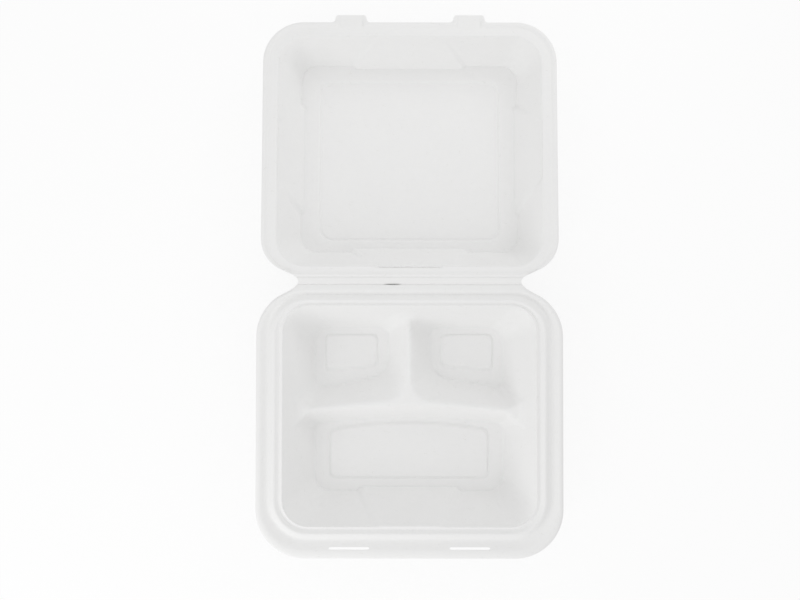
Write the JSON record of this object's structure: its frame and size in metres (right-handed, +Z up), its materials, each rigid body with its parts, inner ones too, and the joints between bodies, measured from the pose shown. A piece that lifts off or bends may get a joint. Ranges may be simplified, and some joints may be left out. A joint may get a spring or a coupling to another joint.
{
  "type": "clamshell food container",
  "caption": "Open clamshell lunch box pressed from bagasse pulp: a tray in three compartments and a shallow lid on a living hinge, with tuck tabs and slots.",
  "frame": {"origin": "On the surface the open box lies on, under the middle of its outline; the fold line of the hinge passes 1.6 mm behind it, 42.35 mm up.", "axes": "+Z up. +Y points from the tray's front edge over the hinge to the lid's tabs, the long way of the open box. +X runs along the hinge."},
  "size_m": [0.23, 0.4108, 0.043],
  "materials": {
    "pulp": "matte"
  },
  "bodies": {
    "tray": {"tray": "pulp"},
    "lid": {"lid": "pulp"}
  },
  "joints": [
    {"name": "lid_hinge", "type": "hinge", "parent": "tray", "child": "lid", "pos_m": [0, 0.00159, 0.04235], "axis": [1, 0, 0], "range_deg": [0, 182.67]}
  ]
}
